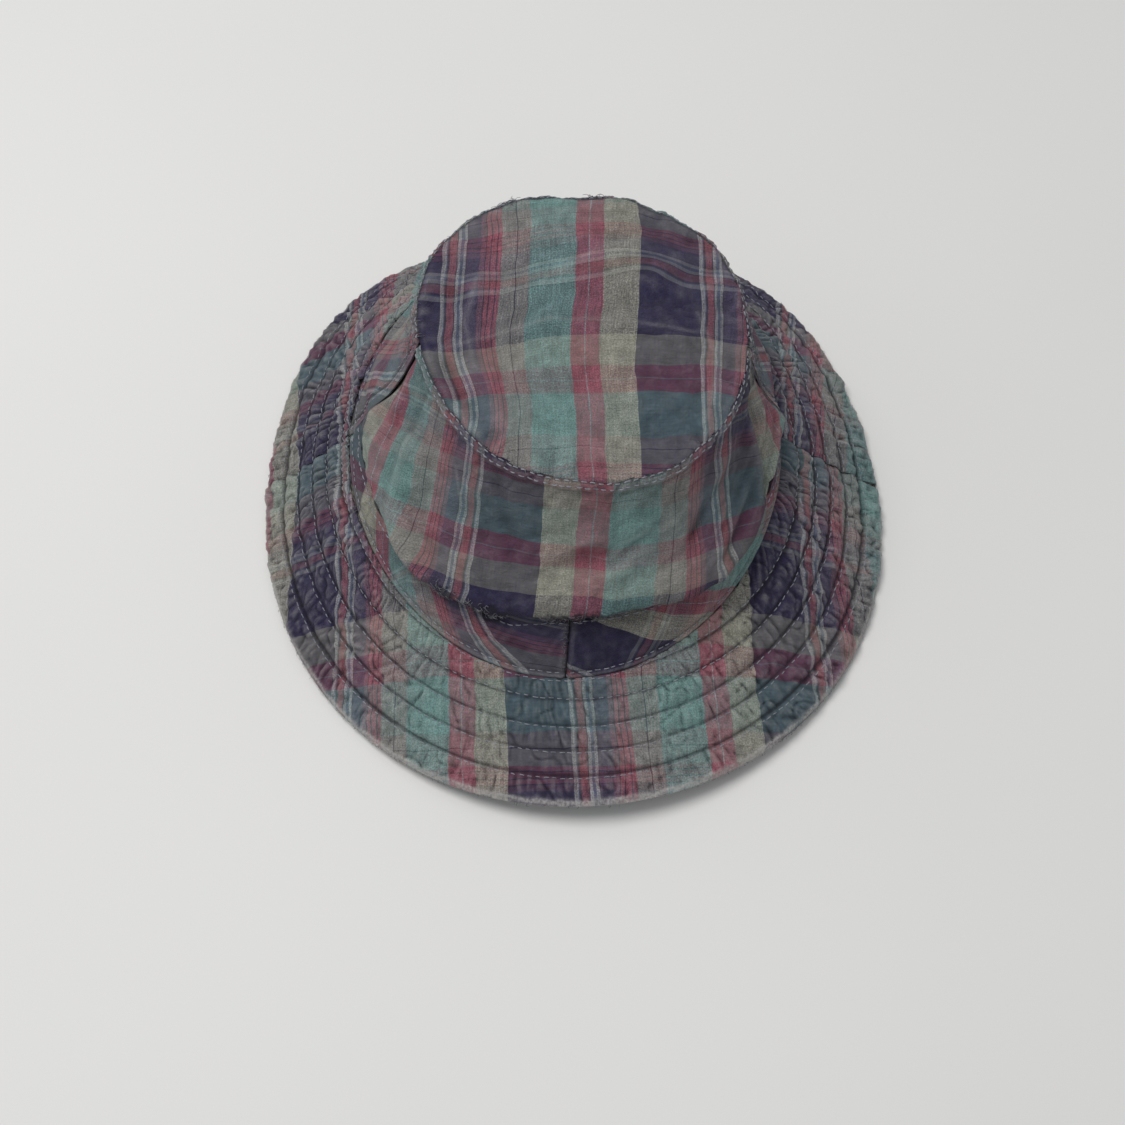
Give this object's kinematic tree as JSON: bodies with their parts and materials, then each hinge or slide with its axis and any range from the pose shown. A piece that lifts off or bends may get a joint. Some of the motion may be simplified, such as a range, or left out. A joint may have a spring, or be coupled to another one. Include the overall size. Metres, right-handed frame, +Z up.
{
  "type": "bucket hat",
  "caption": "Soft plaid cotton bucket hat with an oval tip, a slack crown wall, a row-stitched sloping brim and a sweatband.",
  "frame": {"origin": "middle of the oval that the brim's edge rests on, at the level of the surface it stands on", "axes": "+Z up through the crown, -Y to the front of the hat, +X to the side; the long way of the brim is along Y"},
  "size_m": [0.262, 0.29, 0.105],
  "materials": {
    "plaid_cloth": "washed matte plain weave in teal, khaki, navy and rose plaid",
    "brim_cloth": "the same plaid, puckered between rows of stitching",
    "interlining": "stiff off-white woven interlining",
    "twill": "washed cotton twill tape",
    "stitch_thread": "faded pale grey-blue sewing thread"
  },
  "bodies": {
    "root": {"crown_tip": "plaid_cloth", "crown_wall_front": "plaid_cloth", "crown_wall_back": "plaid_cloth", "lower_band_left": "plaid_cloth", "lower_band_right": "plaid_cloth", "brim_top_front": "brim_cloth", "brim_top_back": "brim_cloth", "brim_under_front": "brim_cloth", "brim_under_back": "brim_cloth", "brim_interlining": "interlining", "sweatband": "twill", "tip_seam_tape": "twill", "base_seam_tape": "twill", "side_seam_tape_left": "twill", "side_seam_tape_right": "twill"}
  },
  "joints": []
}
